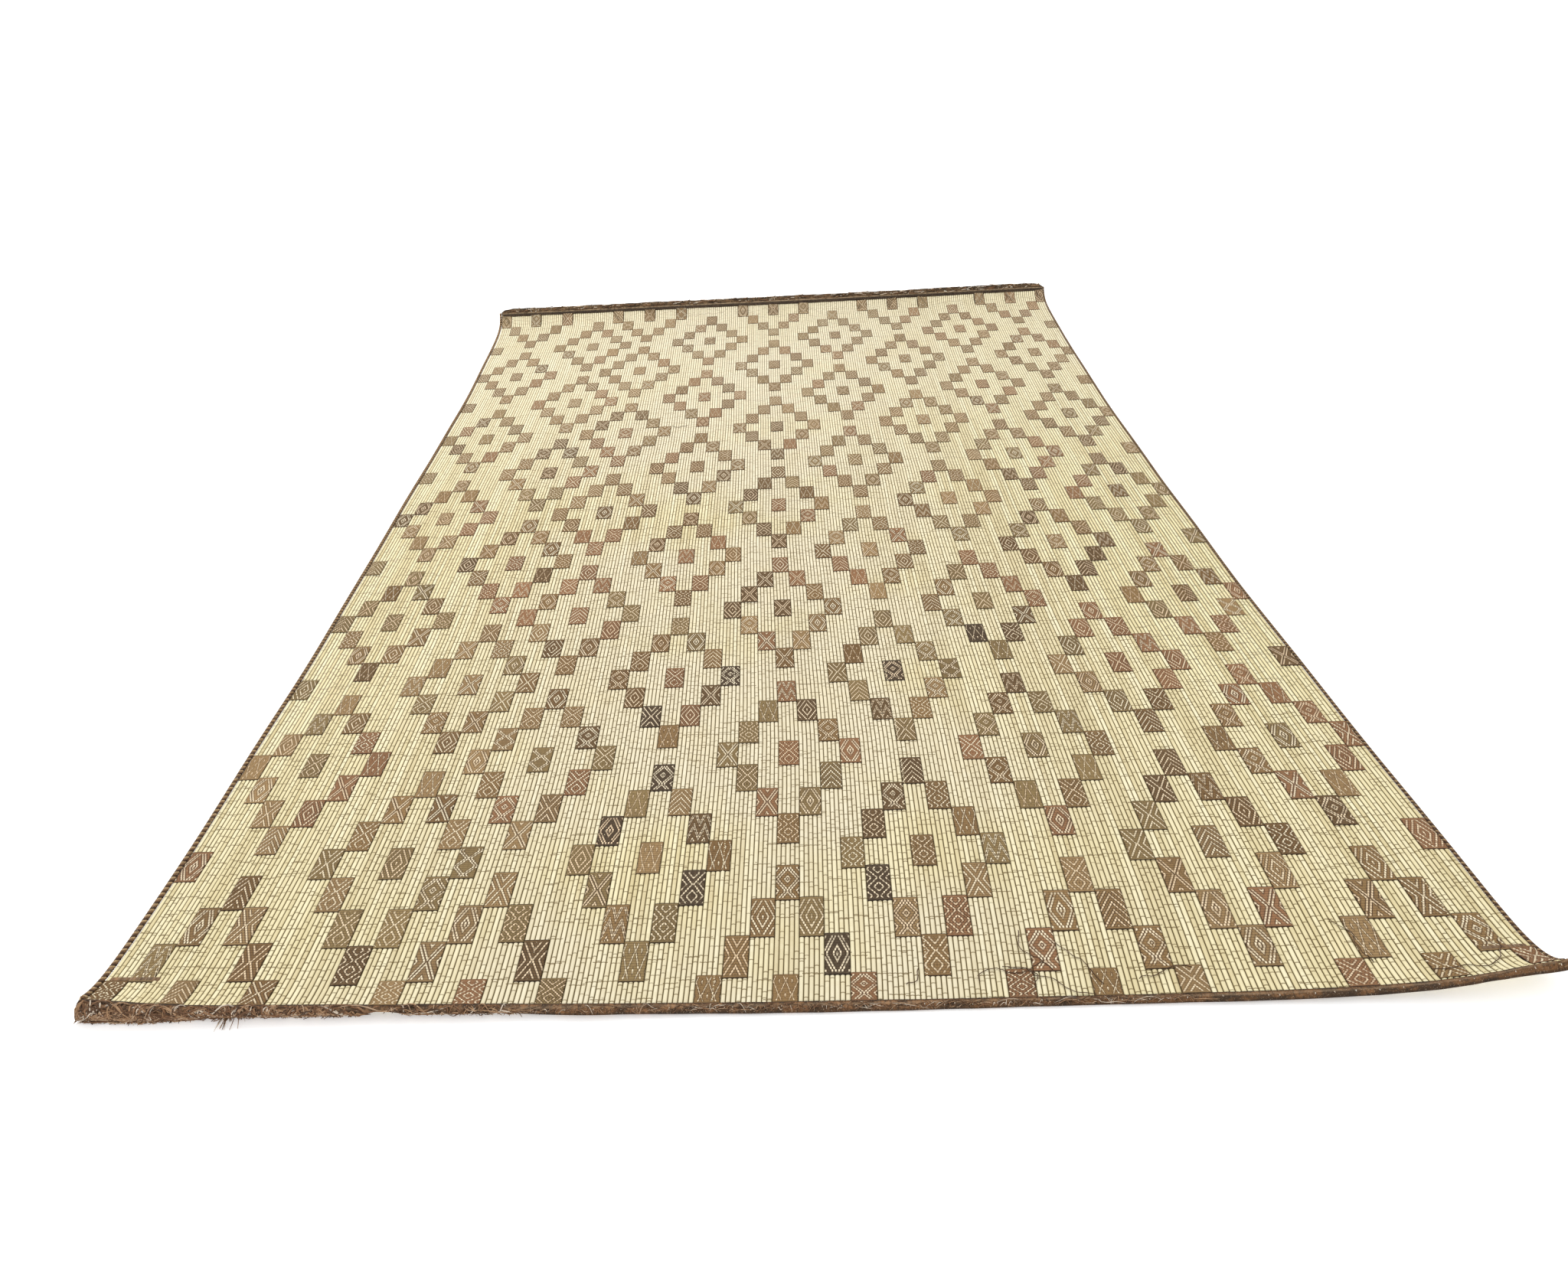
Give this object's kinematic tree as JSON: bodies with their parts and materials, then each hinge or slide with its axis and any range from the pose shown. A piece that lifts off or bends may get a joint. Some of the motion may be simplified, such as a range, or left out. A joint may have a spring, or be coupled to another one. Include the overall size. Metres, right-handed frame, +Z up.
{
  "type": "tuareg mat",
  "caption": "Large rectangular floor mat of straw reeds with woven leather lozenge blocks, leather-bound ends, curled back edge and frayed front corner.",
  "frame": {"origin": "on the floor, under the middle of the mat's box", "axes": "+Y along the reeds towards the curled back edge, +X to the right seen from the front edge, +Z up"},
  "size_m": [2.4926, 3.9076, 0.1115],
  "materials": {
    "straw_reed": "dry split reed, pale straw, low sheen, thin dark gaps between the reeds",
    "brown_leather": "worn brown goat leather, matt",
    "thong_leather": "frayed tan leather thongs, dusty",
    "side_cord": "twisted dark and tan leather cord, matt"
  },
  "bodies": {
    "root": {"reed_ground": "straw_reed", "front_binding": "brown_leather", "back_binding": "brown_leather", "front_fringe": "thong_leather", "left_cord": "side_cord", "right_cord": "side_cord"}
  },
  "joints": []
}
